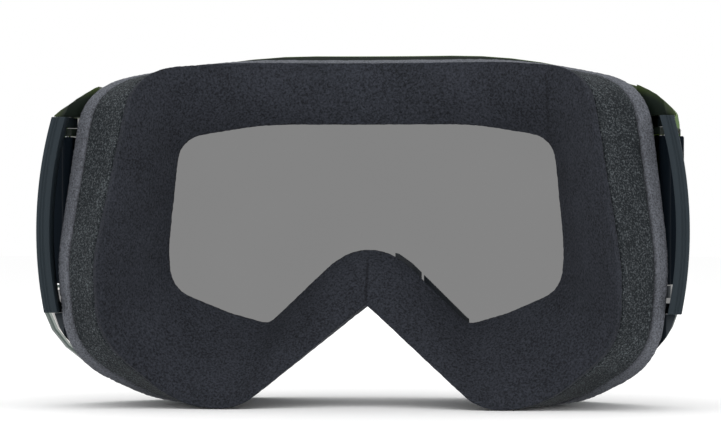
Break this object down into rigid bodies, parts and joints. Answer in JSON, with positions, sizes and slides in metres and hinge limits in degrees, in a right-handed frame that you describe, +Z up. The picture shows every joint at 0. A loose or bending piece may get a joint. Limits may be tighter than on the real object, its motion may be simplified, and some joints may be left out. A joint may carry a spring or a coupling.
{
  "type": "motocross goggles",
  "caption": "Off-road goggles with layered face foam, tinted wrap lens, lens locks and hinged strap outriggers",
  "frame": {"origin": "on the ground between the two cheek lobes, under the middle of the overall box", "axes": "+X to the wearer's left, -Y out through the lens, +Y towards the face, +Z up"},
  "size_m": [0.1848, 0.0872, 0.1025],
  "materials": {
    "lens_tint": "gloss",
    "seal_rubber": "matte",
    "frame_plastic": "satin",
    "plate_plastic": "satin",
    "foam_light": "open foam",
    "foam_coarse": "open foam",
    "fleece": "brushed fleece",
    "vent_foam": "open foam",
    "outrigger_plastic": "soft touch",
    "lock_plastic": "satin",
    "pin_steel": "drawn",
    "post_plastic": "gloss"
  },
  "bodies": {
    "goggles": {"lens": "lens_tint", "lens_seal": "seal_rubber", "front_rim": "frame_plastic", "frame": "frame_plastic", "face_plate": "plate_plastic", "foam_base": "foam_light", "foam_middle": "foam_coarse", "foam_face": "fleece", "top_vent_foam": "vent_foam", "left_bottom_vent_foam": "vent_foam", "right_bottom_vent_foam": "vent_foam", "left_hinge_pins": "pin_steel", "right_hinge_pins": "pin_steel", "left_lock_pin": "pin_steel", "right_lock_pin": "pin_steel", "left_tear_off_post": "post_plastic", "right_tear_off_post": "post_plastic"},
    "left_outrigger": {"left_outrigger": "outrigger_plastic"},
    "right_outrigger": {"right_outrigger": "outrigger_plastic"},
    "left_lens_lock": {"left_lens_lock": "lock_plastic"},
    "right_lens_lock": {"right_lens_lock": "lock_plastic"}
  },
  "joints": [
    {"name": "left_outrigger_hinge", "type": "hinge", "parent": "goggles", "child": "left_outrigger", "pos_m": [0.0852, 0.01439, 0.0546], "axis": [0, 0, -1], "range_deg": [-1, 20]},
    {"name": "right_outrigger_hinge", "type": "hinge", "parent": "goggles", "child": "right_outrigger", "pos_m": [-0.0852, 0.01439, 0.0546], "axis": [0, 0, 1], "range_deg": [-1, 20]},
    {"name": "left_lock_hinge", "type": "hinge", "parent": "goggles", "child": "left_lens_lock", "pos_m": [0.0853, 0.01805, 0.0559], "axis": [0, 0, 1], "range_deg": [0, 25]},
    {"name": "right_lock_hinge", "type": "hinge", "parent": "goggles", "child": "right_lens_lock", "pos_m": [-0.0853, 0.01805, 0.0559], "axis": [0, 0, -1], "range_deg": [0, 25]}
  ]
}
